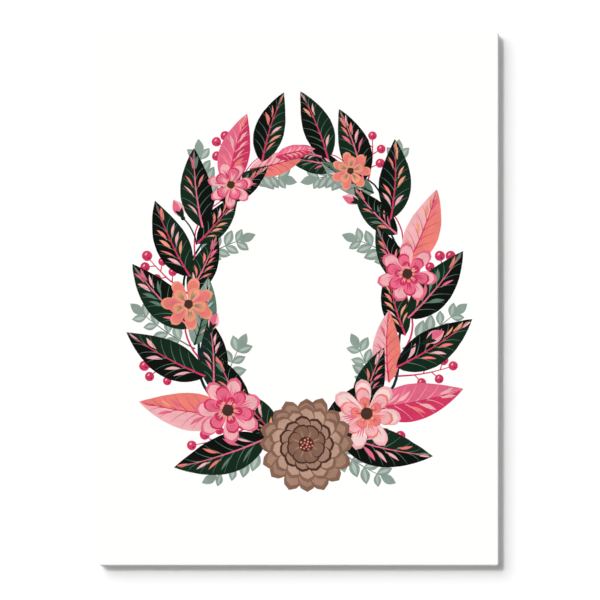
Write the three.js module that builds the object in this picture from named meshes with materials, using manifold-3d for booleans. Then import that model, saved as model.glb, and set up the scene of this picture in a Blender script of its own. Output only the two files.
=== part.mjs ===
// Stretched canvas print: a printed cotton canvas wrapped round a mitred pine frame.
// Millimetres. X runs to the right as seen from the front, Y runs towards the wall, Z is up.
// The origin is the hang point: the top of the hanger's middle notch, halfway through its plate.
import * as THREE from "three";
import { mergeVertices } from "three/addons/utils/BufferGeometryUtils.js";
import Module from "manifold-3d";

const wasm = await Module();
wasm.setup();

// The wrapped picture: 18 by 24 inches, three quarters of an inch deep.
const WIDTH = 457.2;
const HEIGHT = 609.6;
const DEPTH = 19;
const EDGE_RADIUS = 2.2;
const CORNER_RADIUS = 0.5;
const GAP = 0.3;

// The canvas, its strip turned over onto the back, and the second layer at each folded corner.
const CLOTH = 0.6;
const TURNOVER = 22;
const FOLD_SIDE = 22;

// Stretcher bars: a raised bead along the outer edge keeps the canvas off the rest of the wood.
const BAR_WIDTH = 38;
const BEAD_WIDTH = 8;
const FRONT_FALL = 3;
const INNER_CHAMFER = 1;
const MITRE_GAP = GAP / Math.SQRT2;

// Corner joint: each end has a tongue in one layer and a slot in the other.
const JOINT_INSET = 8;
const TONGUE_ROOT = 10;
const TONGUE_THICKNESS = 3.4;
const SLOT_THICKNESS = TONGUE_THICKNESS + 2 * GAP;
const BACK_LAYER_DEPTH = 2.2;
const LAYER_STEP = 6;

// Keys: wooden wedges, pushed into the slots from inside the corner.
const KEY_LENGTH = 40;
const KEY_TIP_WIDTH = 3;
const KEY_HEAD_WIDTH = 12;
const KEY_TIP_FROM_EDGE = 16;

// Staples
const STAPLE_CROWN = 10;
const STAPLE_LEG = 6;
const WIRE_THICKNESS = 0.6;
const WIRE_WIDTH = 1;
const STAPLE_BEND = 0.7;
const STAPLE_PITCH = 70;
const STAPLE_END = 55;
const STAPLE_FROM_EDGE = 13;
const STAPLE_TILT = THREE.MathUtils.degToRad(5);
const STAPLE_DRIFT = 2.5;
const STAPLE_SEED = 7;

// Sawtooth hanger
const HANGER_LENGTH = 46;
const HANGER_HEIGHT = 8;
const HANGER_PLATE = 0.9;
const HANGER_RISE = 2.3;
const HANGER_END = 9;
const HANGER_RAMP = 3;
const HANGER_ABOVE_BAR_EDGE = 4.4;
const NOTCH_PITCH = 4;
const NOTCH_WIDTH = 3.2;
const NOTCH_HEIGHT = 2.2;
const NOTCHES_EACH_SIDE = 2;

// Hanger nails
const NAIL_INSET = 4.5;
const NAIL_RADIUS = 0.6;
const NAIL_LENGTH = 8;
const NAIL_TIP = 1.5;
const NAIL_HEAD_RADIUS = 1.9;
const NAIL_HEAD_HEIGHT = 0.8;

// Felt bumpers, stuck to the bare wood of the bottom bar
const BUMPER_RADIUS = 5;
const BUMPER_ROUNDING = 0.5;
const BUMPER_FROM_END = 50;

// Levels along Y in the picture's own frame, where the back of the turned-over canvas is zero.
const FRONT_Y = -DEPTH;
const BAR_BACK_Y = -CLOTH - GAP;
const BAR_FRONT_Y = FRONT_Y + CLOTH + GAP;
const ON_WOOD_Y = BAR_BACK_Y + GAP;
const WALL_Y = ON_WOOD_Y + HANGER_RISE + HANGER_PLATE;

// How far a cutting shape runs past what it cuts, and how many flats make a round.
const CUT_MARGIN = 1;
const EDGE_STEPS = 4;
const CORNER_STEPS = 3;
const NAIL_SIDES = 12;
const BUMPER_SIDES = 24;

const RAIL_LENGTH = WIDTH - 2 * (CLOTH + GAP);
const STILE_LENGTH = HEIGHT - 2 * (CLOTH + GAP);
const HANGER_BOTTOM_Z = STILE_LENGTH / 2 - BAR_WIDTH + HANGER_ABOVE_BAR_EDGE;
const HANG_POINT = new THREE.Vector3(
  0,
  WALL_Y - HANGER_PLATE / 2,
  HANGER_BOTTOM_Z + NOTCH_HEIGHT,
);

const PINE = new THREE.MeshStandardMaterial({ color: 0xd9b98a, roughness: 0.7 });
const CANVAS = new THREE.MeshStandardMaterial({ color: 0xf7f5ef, roughness: 0.9 });
const STEEL = new THREE.MeshStandardMaterial({ color: 0xb9bbbd, roughness: 0.35, metalness: 1 });
const FELT = new THREE.MeshStandardMaterial({ color: 0x6d655c, roughness: 1 });

// A closed three.js geometry as a solid that can be joined and cut.
function solidOf(geometry) {
  const bare = geometry.clone();
  bare.deleteAttribute("normal");
  bare.deleteAttribute("uv");
  const merged = mergeVertices(bare, 1e-4);
  return new wasm.Manifold(
    new wasm.Mesh({
      numProp: 3,
      vertProperties: merged.attributes.position.array,
      triVerts: new Uint32Array(merged.index.array),
    }),
  );
}

function geometryOf(solid) {
  const data = solid.getMesh();
  const geometry = new THREE.BufferGeometry();
  geometry.setAttribute("position", new THREE.BufferAttribute(data.vertProperties, 3));
  geometry.setIndex(new THREE.BufferAttribute(data.triVerts, 1));
  return geometry.toNonIndexed();
}

function meshOf(name, geometry, material) {
  geometry.computeVertexNormals();
  const mesh = new THREE.Mesh(geometry, material);
  mesh.name = name;
  return mesh;
}

// Plan shapes are drawn in X and Z, as seen from the front, and have their thickness along Y.
const PLAN = new THREE.Matrix4().makeBasis(
  new THREE.Vector3(1, 0, 0),
  new THREE.Vector3(0, 0, 1),
  new THREE.Vector3(0, -1, 0),
);

function plate(points, frontY, backY) {
  const shape = new THREE.Shape(points.map(([x, z]) => new THREE.Vector2(x, z)));
  const geometry = new THREE.ExtrudeGeometry(shape, {
    depth: backY - frontY,
    bevelEnabled: false,
  });
  return geometry.applyMatrix4(PLAN).translate(0, backY, 0);
}

function rectangle(left, bottom, right, top) {
  return [
    [left, bottom],
    [right, bottom],
    [right, top],
    [left, top],
  ];
}

// A block with its front and back edges and its four corners rounded.
function roundedBlock(width, height, frontY, backY, radius) {
  const x = width / 2 - radius;
  const z = height / 2 - radius;
  const c = CORNER_RADIUS;
  const shape = new THREE.Shape();
  shape.absarc(x - c, z - c, c, 0, Math.PI / 2);
  shape.absarc(c - x, z - c, c, Math.PI / 2, Math.PI);
  shape.absarc(c - x, c - z, c, Math.PI, 1.5 * Math.PI);
  shape.absarc(x - c, c - z, c, 1.5 * Math.PI, 2 * Math.PI);
  const geometry = new THREE.ExtrudeGeometry(shape, {
    depth: backY - frontY - 2 * radius,
    bevelThickness: radius,
    bevelSize: radius,
    bevelSegments: EDGE_STEPS,
    curveSegments: CORNER_STEPS,
  });
  return geometry.applyMatrix4(PLAN).translate(0, backY - radius, 0);
}

// Numbers between -1 and 1, the same on every run.
function seededSpread(seed) {
  let state = seed;
  return () => {
    state = (state + 0x6d2b79f5) | 0;
    let t = Math.imul(state ^ (state >>> 15), 1 | state);
    t = (t + Math.imul(t ^ (t >>> 7), 61 | t)) ^ t;
    return ((t ^ (t >>> 14)) >>> 0) / 2147483648 - 1;
  };
}

// A staple lies along X, with its legs pointing away from the wall.
function stapleGeometry() {
  const half = STAPLE_CROWN / 2;
  const bend = STAPLE_BEND;
  const shape = new THREE.Shape();
  shape.moveTo(-half, -STAPLE_LEG);
  shape.lineTo(WIRE_THICKNESS - half, WIRE_THICKNESS - STAPLE_LEG);
  shape.lineTo(WIRE_THICKNESS - half, 0);
  shape.lineTo(half - WIRE_THICKNESS, 0);
  shape.lineTo(half - WIRE_THICKNESS, WIRE_THICKNESS - STAPLE_LEG);
  shape.lineTo(half, -STAPLE_LEG);
  shape.lineTo(half, WIRE_THICKNESS - bend);
  shape.absarc(half - bend, WIRE_THICKNESS - bend, bend, 0, Math.PI / 2);
  shape.lineTo(bend - half, WIRE_THICKNESS);
  shape.absarc(bend - half, WIRE_THICKNESS - bend, bend, Math.PI / 2, Math.PI);
  const geometry = new THREE.ExtrudeGeometry(shape, {
    depth: WIRE_WIDTH,
    bevelEnabled: false,
    curveSegments: CORNER_STEPS,
  });
  return geometry.translate(0, 0, -WIRE_WIDTH / 2);
}

// The two holes that a staple's legs stand in, in the staple's own frame.
function legHoles() {
  const x = (STAPLE_CROWN - WIRE_THICKNESS) / 2;
  const across = WIRE_THICKNESS + 2 * GAP;
  const deep = STAPLE_LEG + GAP + CUT_MARGIN;
  return [-x, x].map((at) =>
    new THREE.BoxGeometry(across, deep, WIRE_WIDTH + 2 * GAP).translate(
      at,
      CUT_MARGIN - deep / 2,
      0,
    ),
  );
}

// Where each staple goes: along the four bars at an even pitch, and one across each folded corner.
function staplePlaces() {
  const spread = seededSpread(STAPLE_SEED);
  const places = [];
  const bars = [
    { name: "top", length: RAIL_LENGTH, out: [0, 1] },
    { name: "bottom", length: RAIL_LENGTH, out: [0, -1] },
    { name: "left", length: STILE_LENGTH, out: [-1, 0] },
    { name: "right", length: STILE_LENGTH, out: [1, 0] },
  ];
  for (const { name, length, out } of bars) {
    const reach = length - 2 * STAPLE_END;
    const steps = Math.round(reach / STAPLE_PITCH);
    const edge = (out[0] ? RAIL_LENGTH : STILE_LENGTH) / 2 - STAPLE_FROM_EDGE;
    for (let i = 0; i <= steps; i++) {
      const along = -reach / 2 + (reach * i) / steps + STAPLE_DRIFT * spread();
      places.push({
        name: `staple_${name}_${i + 1}`,
        x: out[0] ? out[0] * edge : along,
        z: out[1] ? out[1] * edge : along,
        turn: (out[0] ? Math.PI / 2 : 0) + STAPLE_TILT * spread(),
        crownY: GAP,
      });
    }
  }
  for (const [name, sx, sz] of [
    ["top_left", -1, 1],
    ["top_right", 1, 1],
    ["bottom_left", -1, -1],
    ["bottom_right", 1, -1],
  ]) {
    places.push({
      name: `staple_corner_${name}`,
      x: sx * (RAIL_LENGTH / 2 - STAPLE_FROM_EDGE),
      z: sz * (STILE_LENGTH / 2 - STAPLE_FROM_EDGE),
      turn: sx * sz * (Math.PI / 4) + STAPLE_TILT * spread(),
      crownY: CLOTH + GAP,
    });
  }
  return places;
}

function stapleMeshes() {
  return staplePlaces().map(({ name, x, z, turn, crownY }) => {
    const mesh = meshOf(name, stapleGeometry(), STEEL);
    mesh.position.set(x, crownY, z);
    mesh.rotation.y = turn;
    mesh.updateMatrix();
    return mesh;
  });
}

function allLegHoles(staples) {
  const cutters = staples.flatMap((staple) =>
    legHoles().map((hole) => solidOf(hole.applyMatrix4(staple.matrix))),
  );
  return cutters.reduce((all, one) => all.add(one));
}

// The canvas is a shallow tray, open at the back, with its edge turned over.
// A second layer stands for the cloth folded under at each corner.
function canvasSolid(holes) {
  const outside = solidOf(roundedBlock(WIDTH, HEIGHT, FRONT_Y, 0, EDGE_RADIUS));
  const inside = solidOf(
    roundedBlock(
      WIDTH - 2 * CLOTH,
      HEIGHT - 2 * CLOTH,
      FRONT_Y + CLOTH,
      -CLOTH,
      EDGE_RADIUS - CLOTH,
    ),
  );
  const x = WIDTH / 2;
  const z = HEIGHT / 2;
  const opening = rectangle(TURNOVER - x, TURNOVER - z, x - TURNOVER, z - TURNOVER);
  let canvas = outside
    .subtract(inside)
    .subtract(solidOf(plate(opening, -CLOTH - CUT_MARGIN, CUT_MARGIN)));
  const inset = EDGE_RADIUS;
  for (const sx of [-1, 1]) {
    for (const sz of [-1, 1]) {
      const a = sx * (x - inset);
      const b = sx * (x - FOLD_SIDE);
      const c = sz * (z - inset);
      const d = sz * (z - FOLD_SIDE);
      const fold = rectangle(Math.min(a, b), Math.min(c, d), Math.max(a, b), Math.max(c, d));
      canvas = canvas.add(solidOf(plate(fold, -CLOTH / 2, CLOTH)));
    }
  }
  return canvas.subtract(holes);
}

// A layer of the corner joint, counted from the back of the bar.
function layerY(layer, thickness) {
  const middle = BAR_BACK_Y - BACK_LAYER_DEPTH - SLOT_THICKNESS / 2 - layer * LAYER_STEP;
  return [middle - thickness / 2, middle + thickness / 2];
}

// In a bar's own frame X is the distance in from its outer face and Z runs along it from its middle.
// fromEnd counts from the bar's end, so the same points serve both ends.
function bothEnds(length, points) {
  return [1, -1].map((end) => points.map(([x, fromEnd]) => [x, end * (length / 2 - fromEnd)]));
}

// The slanted side of a key, as its distance from the bar's end.
function keySlant(x) {
  const rise = (KEY_HEAD_WIDTH - KEY_TIP_WIDTH) / KEY_LENGTH;
  return BAR_WIDTH + GAP + KEY_TIP_WIDTH + (x - KEY_TIP_FROM_EDGE) * rise;
}

function keyPoints() {
  const head = KEY_TIP_FROM_EDGE + KEY_LENGTH;
  return [
    [KEY_TIP_FROM_EDGE, BAR_WIDTH + GAP],
    [head, BAR_WIDTH + GAP],
    [head, keySlant(head)],
    [KEY_TIP_FROM_EDGE, keySlant(KEY_TIP_FROM_EDGE)],
  ];
}

function barBlank(length) {
  const outline = [
    [0, BAR_BACK_Y],
    [0, BAR_FRONT_Y],
    [BEAD_WIDTH, BAR_FRONT_Y],
    [BAR_WIDTH, BAR_FRONT_Y + FRONT_FALL],
    [BAR_WIDTH, BAR_BACK_Y - INNER_CHAMFER],
    [BAR_WIDTH - INNER_CHAMFER, BAR_BACK_Y],
  ];
  const shape = new THREE.Shape(outline.map(([x, y]) => new THREE.Vector2(x, y)));
  const geometry = new THREE.ExtrudeGeometry(shape, { depth: length, bevelEnabled: false });
  return solidOf(geometry.translate(0, 0, -length / 2));
}

function barSolid(length, tongueLayer, slotLayer) {
  const past = BAR_WIDTH + CUT_MARGIN;
  const mitre = [
    [-CUT_MARGIN, -CUT_MARGIN + MITRE_GAP],
    [past, past + MITRE_GAP],
    [past, -2 * CUT_MARGIN],
    [-CUT_MARGIN, -2 * CUT_MARGIN],
  ];
  const tongue = [
    [JOINT_INSET, JOINT_INSET],
    [BAR_WIDTH, JOINT_INSET],
    [BAR_WIDTH, BAR_WIDTH + TONGUE_ROOT],
    [JOINT_INSET, BAR_WIDTH + TONGUE_ROOT],
  ];
  const slotStart = JOINT_INSET - GAP;
  const tipEnd = KEY_TIP_FROM_EDGE - GAP;
  const slot = [
    [slotStart, slotStart],
    [past, slotStart],
    [past, keySlant(past) + GAP],
    [tipEnd, keySlant(tipEnd) + GAP],
    [tipEnd, BAR_WIDTH + GAP],
    [slotStart, BAR_WIDTH + GAP],
  ];
  let bar = barBlank(length);
  for (const cut of bothEnds(length, mitre)) {
    bar = bar.subtract(solidOf(plate(cut, BAR_FRONT_Y - CUT_MARGIN, CUT_MARGIN)));
  }
  for (const outline of bothEnds(length, tongue)) {
    bar = bar.add(solidOf(plate(outline, ...layerY(tongueLayer, TONGUE_THICKNESS))));
  }
  for (const outline of bothEnds(length, slot)) {
    bar = bar.subtract(solidOf(plate(outline, ...layerY(slotLayer, SLOT_THICKNESS))));
  }
  return bar;
}

function keySolids(length, slotLayer) {
  return bothEnds(length, keyPoints()).map((outline) =>
    solidOf(plate(outline, ...layerY(slotLayer, TONGUE_THICKNESS))),
  );
}

// Turns a bar's own frame to its place: X points inwards from the outer edge, Z runs along the bar.
function barPlace(inwards, along, outerEdge) {
  const y = new THREE.Vector3(0, 1, 0);
  return new THREE.Matrix4()
    .makeBasis(inwards, y, along)
    .setPosition(inwards.clone().multiplyScalar(-outerEdge));
}

function placedBars() {
  const stileLayers = [0, 1];
  const railLayers = [1, 0];
  const edgeX = RAIL_LENGTH / 2;
  const edgeZ = STILE_LENGTH / 2;
  const right = new THREE.Vector3(1, 0, 0);
  const up = new THREE.Vector3(0, 0, 1);
  const left = right.clone().negate();
  const down = up.clone().negate();
  return [
    { name: "left", length: STILE_LENGTH, layers: stileLayers, place: barPlace(right, up, edgeX) },
    { name: "right", length: STILE_LENGTH, layers: stileLayers, place: barPlace(left, down, edgeX) },
    { name: "top", length: RAIL_LENGTH, layers: railLayers, place: barPlace(down, right, edgeZ) },
    { name: "bottom", length: RAIL_LENGTH, layers: railLayers, place: barPlace(up, left, edgeZ) },
  ];
}

// The rounding of the whole frame's outer edges, under the canvas.
function frameRounding() {
  const radius = EDGE_RADIUS - CLOTH - GAP;
  return solidOf(roundedBlock(RAIL_LENGTH, STILE_LENGTH, BAR_FRONT_Y, BAR_BACK_Y, radius));
}

function woodMeshes(holes) {
  const meshes = [];
  const rounding = frameRounding();
  for (const { name, length, layers, place } of placedBars()) {
    const bar = geometryOf(barSolid(length, ...layers)).applyMatrix4(place);
    let solid = solidOf(bar).intersect(rounding).subtract(holes);
    if (name === "top") solid = solid.subtract(nailHoles());
    meshes.push(meshOf(`bar_${name}`, geometryOf(solid), PINE));
    keySolids(length, layers[1]).forEach((key, i) => {
      const geometry = geometryOf(key).applyMatrix4(place);
      meshes.push(meshOf(`key_${name}_${i + 1}`, geometry, PINE));
    });
  }
  return meshes;
}

const HANGER_MIDDLE_Z = HANGER_BOTTOM_Z + HANGER_HEIGHT / 2;
const NAIL_X = HANGER_LENGTH / 2 - NAIL_INSET;

function nailHoles() {
  const radius = NAIL_RADIUS + GAP;
  const depth = NAIL_LENGTH + HANGER_PLATE + 2 * CUT_MARGIN;
  const holes = [-NAIL_X, NAIL_X].map((x) =>
    solidOf(
      new THREE.CylinderGeometry(radius, radius, depth, NAIL_SIDES).translate(
        x,
        ON_WOOD_Y + HANGER_PLATE + CUT_MARGIN - depth / 2,
        HANGER_MIDDLE_Z,
      ),
    ),
  );
  return holes[0].add(holes[1]);
}

// A strip of sheet steel, pressed up in the middle, with its lower edge cut into teeth.
function hangerSolid() {
  const half = HANGER_LENGTH / 2;
  const foot = half - HANGER_END;
  const top = foot - HANGER_RAMP;
  const near = ON_WOOD_Y;
  const far = ON_WOOD_Y + HANGER_RISE;
  const slant = HANGER_PLATE / 2;
  const outline = [
    [-half, near],
    [-foot, near],
    [-top, far],
    [top, far],
    [foot, near],
    [half, near],
    [half, near + HANGER_PLATE],
    [foot + slant, near + HANGER_PLATE],
    [top + slant, far + HANGER_PLATE],
    [-top - slant, far + HANGER_PLATE],
    [-foot - slant, near + HANGER_PLATE],
    [-half, near + HANGER_PLATE],
  ];
  const shape = new THREE.Shape(outline.map(([x, y]) => new THREE.Vector2(x, y)));
  const strip = new THREE.ExtrudeGeometry(shape, { depth: HANGER_HEIGHT, bevelEnabled: false });
  let hanger = solidOf(strip.translate(0, 0, HANGER_BOTTOM_Z)).subtract(nailHoles());
  for (let i = -NOTCHES_EACH_SIDE; i <= NOTCHES_EACH_SIDE; i++) {
    const x = i * NOTCH_PITCH;
    const slope = NOTCH_WIDTH / 2 / NOTCH_HEIGHT;
    const reach = (NOTCH_HEIGHT + CUT_MARGIN) * slope;
    const notch = [
      [x - reach, HANGER_BOTTOM_Z - CUT_MARGIN],
      [x + reach, HANGER_BOTTOM_Z - CUT_MARGIN],
      [x, HANGER_BOTTOM_Z + NOTCH_HEIGHT],
    ];
    hanger = hanger.subtract(solidOf(plate(notch, far - CUT_MARGIN, WALL_Y + CUT_MARGIN)));
  }
  return hanger;
}

function nailMesh(name, x) {
  const under = ON_WOOD_Y + HANGER_PLATE + GAP;
  const tip = under - NAIL_LENGTH;
  const profile = [
    [0, tip],
    [NAIL_RADIUS, tip + NAIL_TIP],
    [NAIL_RADIUS, under],
    [NAIL_HEAD_RADIUS, under],
    [NAIL_HEAD_RADIUS, under + NAIL_HEAD_HEIGHT / 2],
    [NAIL_HEAD_RADIUS / 2, under + NAIL_HEAD_HEIGHT],
    [0, under + NAIL_HEAD_HEIGHT],
  ];
  const points = profile.map(([r, y]) => new THREE.Vector2(r, y));
  const mesh = meshOf(name, new THREE.LatheGeometry(points, NAIL_SIDES), STEEL);
  mesh.position.set(x, 0, HANGER_MIDDLE_Z);
  return mesh;
}

function bumperMesh(name, side) {
  const r = BUMPER_RADIUS;
  const profile = [
    [0, ON_WOOD_Y],
    [r, ON_WOOD_Y],
    [r, WALL_Y - BUMPER_ROUNDING],
    [r - BUMPER_ROUNDING, WALL_Y],
    [0, WALL_Y],
  ];
  const points = profile.map(([radius, y]) => new THREE.Vector2(radius, y));
  const mesh = meshOf(name, new THREE.LatheGeometry(points, BUMPER_SIDES), FELT);
  const bareMiddle = (TURNOVER - CLOTH - GAP + BAR_WIDTH) / 2;
  mesh.position.set(
    side * (RAIL_LENGTH / 2 - BUMPER_FROM_END),
    0,
    bareMiddle - STILE_LENGTH / 2,
  );
  return mesh;
}

const picture = new THREE.Group();
const staples = stapleMeshes();
const holes = allLegHoles(staples);
picture.add(meshOf("canvas", geometryOf(canvasSolid(holes)), CANVAS));
picture.add(...woodMeshes(holes));
picture.add(...staples);
picture.add(meshOf("hanger", geometryOf(hangerSolid()), STEEL));
picture.add(nailMesh("hanger_nail_left", -NAIL_X), nailMesh("hanger_nail_right", NAIL_X));
picture.add(bumperMesh("bumper_left", -1), bumperMesh("bumper_right", 1));
picture.position.copy(HANG_POINT).negate();

const root = new THREE.Group();
root.add(picture);

export default root;
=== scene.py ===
# %% [markdown]
# # A stretched canvas print
#
# The object is a printed cotton canvas, wrapped round a pine frame and hung on a wall. The solid
# model already holds every piece at its real size, so this lesson only dresses it: a soft skin of
# cloth with a painted face, real timber, wire and felt, and the light of a bright room.

# %% Load the frame
import math
import random

import bmesh
import bpy
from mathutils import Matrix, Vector, noise
from mathutils.geometry import delaunay_2d_cdt


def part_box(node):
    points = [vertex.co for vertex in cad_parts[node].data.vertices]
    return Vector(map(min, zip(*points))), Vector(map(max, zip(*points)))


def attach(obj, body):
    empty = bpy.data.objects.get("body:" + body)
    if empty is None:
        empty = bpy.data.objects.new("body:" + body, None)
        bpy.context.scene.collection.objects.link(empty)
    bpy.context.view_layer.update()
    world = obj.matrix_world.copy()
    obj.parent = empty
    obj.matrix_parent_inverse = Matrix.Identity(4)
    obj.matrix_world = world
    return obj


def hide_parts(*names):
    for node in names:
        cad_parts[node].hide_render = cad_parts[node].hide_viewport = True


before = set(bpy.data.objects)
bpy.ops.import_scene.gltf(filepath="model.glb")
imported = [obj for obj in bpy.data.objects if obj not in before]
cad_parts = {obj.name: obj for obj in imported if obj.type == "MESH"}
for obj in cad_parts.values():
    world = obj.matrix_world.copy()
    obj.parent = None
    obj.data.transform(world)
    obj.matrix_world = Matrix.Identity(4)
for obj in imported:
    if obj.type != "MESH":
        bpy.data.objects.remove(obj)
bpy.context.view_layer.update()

# %% [markdown]
# ## Sizes
#
# The cloth's box in the solid model gives the middle of the picture and its outer size. The rest
# are sizes that a framer would know: how deep the bars are, how far the cloth is turned over the
# back, how thick it is. The cloth was cut that much larger than the face on all four sides.

# %% Sizes of the wrapped cloth
MM = 0.001
cloth_low, cloth_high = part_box("canvas")
WIDTH = (cloth_high.x - cloth_low.x) / MM
HEIGHT = (cloth_high.z - cloth_low.z) / MM
DEPTH = 19
TURNOVER = 22
CLOTH = 0.4
EDGE_RADIUS = 2.2
CORNER_RADIUS = 2.7
SHARPEST_CORNER = 0.3
middle = Vector(((cloth_low.x + cloth_high.x) / 2, cloth_low.y, (cloth_low.z + cloth_high.z) / 2))


# %% Place things
def placed(x, y, z):
    """Millimetres from the middle of the face, with y going back to the wall, as a scene point."""
    return middle + Vector((x, y, z)) * MM


def new_object(name, data):
    """An object for a mesh, curve, lamp or camera, linked into the scene."""
    thing = bpy.data.objects.new(name, data)
    bpy.context.collection.objects.link(thing)
    return thing


def select_only(thing):
    """Leaves nothing selected but this, and makes it the one that operators act on."""
    bpy.ops.object.select_all(action="DESELECT")
    thing.select_set(True)
    bpy.context.view_layer.objects.active = thing


# %% [markdown]
# ## Camera
#
# A product picture of a wall panel is taken from far away and square on, so its sides stay hidden.
# A long lens does that: at 300 mm the camera stands nearly six metres from the wall. The picture
# frame takes in 686 mm, and its centre is a little below and to the right of the panel's.

# %% Camera
VIEW_SIDE = 0.6858
LENS = 300
SENSOR = 36
VIEW_CENTRE = (1.4, -1.0)
FARTHEST_SEEN = 50
camera = new_object("camera", bpy.data.cameras.new("camera"))
camera.data.lens = LENS
camera.data.sensor_width = SENSOR
camera.data.clip_end = FARTHEST_SEEN
distance = LENS / SENSOR * VIEW_SIDE
camera.location = placed(VIEW_CENTRE[0], -distance / MM, VIEW_CENTRE[1])
camera.rotation_euler = (math.pi / 2, 0, 0)
bpy.context.scene.camera = camera
print(f"camera {distance:.2f} m from the face")

# %% [markdown]
# ## Colours and nodes
#
# Paint charts give colours as sRGB hex codes, and shaders count in linear light, so one function
# turns the first into the second. A texture's scale is how often its pattern repeats in a metre,
# so another works it out from the size of the real thing in millimetres. A third adds a node with
# its settings and its links, which keeps every material below down to a few readable lines. An
# input goes by its name, or by its number where a node has several of one name. In a Mix, 0 is the
# share, 2 and 3 are values, 6 and 7 are colours, and the mixed colour comes out at output 2. In a
# Map Range, 1 and 2 are the range that goes in, and 3 and 4 the one that comes out.


# %% Helpers for materials
def linear(code):
    """An sRGB hex code as linear red, green, blue and full alpha, by the standard sRGB curve."""
    parts = [int(code[i : i + 2], 16) / 255 for i in (0, 2, 4)]
    return [v / 12.92 if v <= 0.04045 else ((v + 0.055) / 1.055) ** 2.4 for v in parts] + [1.0]


def scale_for(size):
    """The scale of a texture whose pattern has this size in millimetres."""
    return 1 / (size * MM)


def fill_inputs(tree, node, inputs):
    """Gives each input a value, or links it to an output, or to the first output of a node."""
    for name, value in inputs.items():
        if isinstance(value, bpy.types.Node):
            value = value.outputs[0]
        if isinstance(value, bpy.types.NodeSocket):
            tree.links.new(value, node.inputs[name])
        else:
            node.inputs[name].default_value = value


def add_node(tree, kind, inputs, **settings):
    """Adds a node with its settings and its inputs."""
    node = tree.nodes.new("ShaderNode" + kind)
    for name, value in settings.items():
        setattr(node, name, value)
    fill_inputs(tree, node, inputs)
    return node


def new_finish(name):
    """A new material with its node tree and its shader."""
    material = bpy.data.materials.new(name)
    material.use_nodes = True
    tree = material.node_tree
    return material, tree, tree.nodes["Principled BSDF"]


# %% [markdown]
# ## Wall, floor and light
#
# The picture hangs on a plain white wall. Two lamps to the upper left cast its shadow: a hard one
# draws the narrow dark band along the right and lower edges, and a broad one the paler band that
# fades out beside it. A bright room fills in the rest. A third lamp shines out of the wall, for a
# look at the back. So the wall casts no shadow, and is clear when seen from behind. Nor does light
# bounce off the wall and floor, because it would wash out the sides of the picture.

# %% Emulsion for the wall, lacquer for the floor
WALL_WHITE = 0.92

# Emulsion from a roller is a flat white, with a stipple of 1 mm that hardly shows.
wall_paint, tree, shader = new_finish("matt_white_emulsion")
roller = add_node(tree, "TexNoise", {"Scale": scale_for(1.11), "Detail": 3.0})
stipple = add_node(tree, "Bump", {"Height": roller, "Strength": 0.03, "Distance": 0.2 * MM})
white = (WALL_WHITE, WALL_WHITE, WALL_WHITE, 1)
fill_inputs(tree, shader, {"Base Color": white, "Roughness": 0.9, "Normal": stipple})
side = add_node(tree, "NewGeometry", {})
clear = add_node(tree, "BsdfTransparent", {})
one_way = add_node(tree, "MixShader", {0: side.outputs["Backfacing"], 1: shader, 2: clear})
fill_inputs(tree, tree.nodes["Material Output"], {"Surface": one_way})

# A lacquered floor is smoother, and a little cloudy.
floor_paint, tree, shader = new_finish("pale_floor_lacquer")
clouds = add_node(tree, "TexNoise", {"Scale": scale_for(333), "Detail": 2.0})
shades = {0: clouds, 6: linear("e9e7e3"), 7: linear("f1efec")}
tone = add_node(tree, "Mix", shades, data_type="RGBA").outputs[2]
fill_inputs(tree, shader, {"Base Color": tone, "Roughness": 0.6})
print("finishes", [m.name for m in (wall_paint, floor_paint)])

# %% Wall and floor
WALL_REACH = 3.0
WALL_GAP = 0.05 * MM
FLOOR_DROP = 1.55
wall_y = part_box("hanger")[1].y + WALL_GAP


def backdrop(name, paint):
    """Names the mesh that was just added, paints it, and hides it from light that bounces."""
    thing = bpy.context.object
    thing.name = name
    thing.data.materials.append(paint)
    thing.visible_diffuse = False
    return thing


wall_place = (0, wall_y, middle.z)
bpy.ops.mesh.primitive_plane_add(size=2 * WALL_REACH, location=wall_place, rotation=(math.pi / 2, 0, 0))
backdrop("wall", wall_paint).visible_shadow = False
floor_place = (0, wall_y - 2 * WALL_REACH, middle.z - FLOOR_DROP)
bpy.ops.mesh.primitive_plane_add(size=4 * WALL_REACH, location=floor_place)
backdrop("floor", floor_paint)
print(f"wall {WALL_GAP / MM:.2f} mm behind the hanger, floor {FLOOR_DROP} m below the middle")

# %% Lamps and room light
# A share is how much of full white a lamp gives the wall, and the depth is from face to wall.
HARD_SHARE = 0.3
BROAD_SHARE = 0.53
ROOM_SHARE = 0.28
BACK_SHARE = 0.42
PANEL_DEPTH = 21.6


def lamp(name, share, right, down, spread, towards_wall=1):
    """A distant lamp that throws the panel's shadow right and down by so many millimetres.

    Its spread, in degrees, makes the edge of the shadow soft. It shines towards the wall, or out of
    it where towards_wall is -1.
    """
    way = Vector((right, towards_wall * PANEL_DEPTH, -down)).normalized()
    light = bpy.data.lights.new(name, "SUN")
    light.energy = share * math.pi / abs(way.y)
    light.angle = math.radians(spread)
    new_object(name, light).rotation_euler = way.to_track_quat("-Z", "Y").to_euler()


lamp("hard_lamp", HARD_SHARE, 7.4, 7.4, 7)
lamp("broad_lamp", BROAD_SHARE, 12.2, 12.2, 46)
lamp("back_lamp", BACK_SHARE, 9, 10, 10, towards_wall=-1)

room = bpy.data.worlds.new("bright_room")
bpy.context.scene.world = room
room.use_nodes = True
room_light = room.node_tree.nodes["Background"]
fill_inputs(room.node_tree, room_light, {"Color": (1, 1, 1, 1), "Strength": ROOM_SHARE})
bpy.context.scene.view_settings.view_transform = "Standard"

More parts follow.
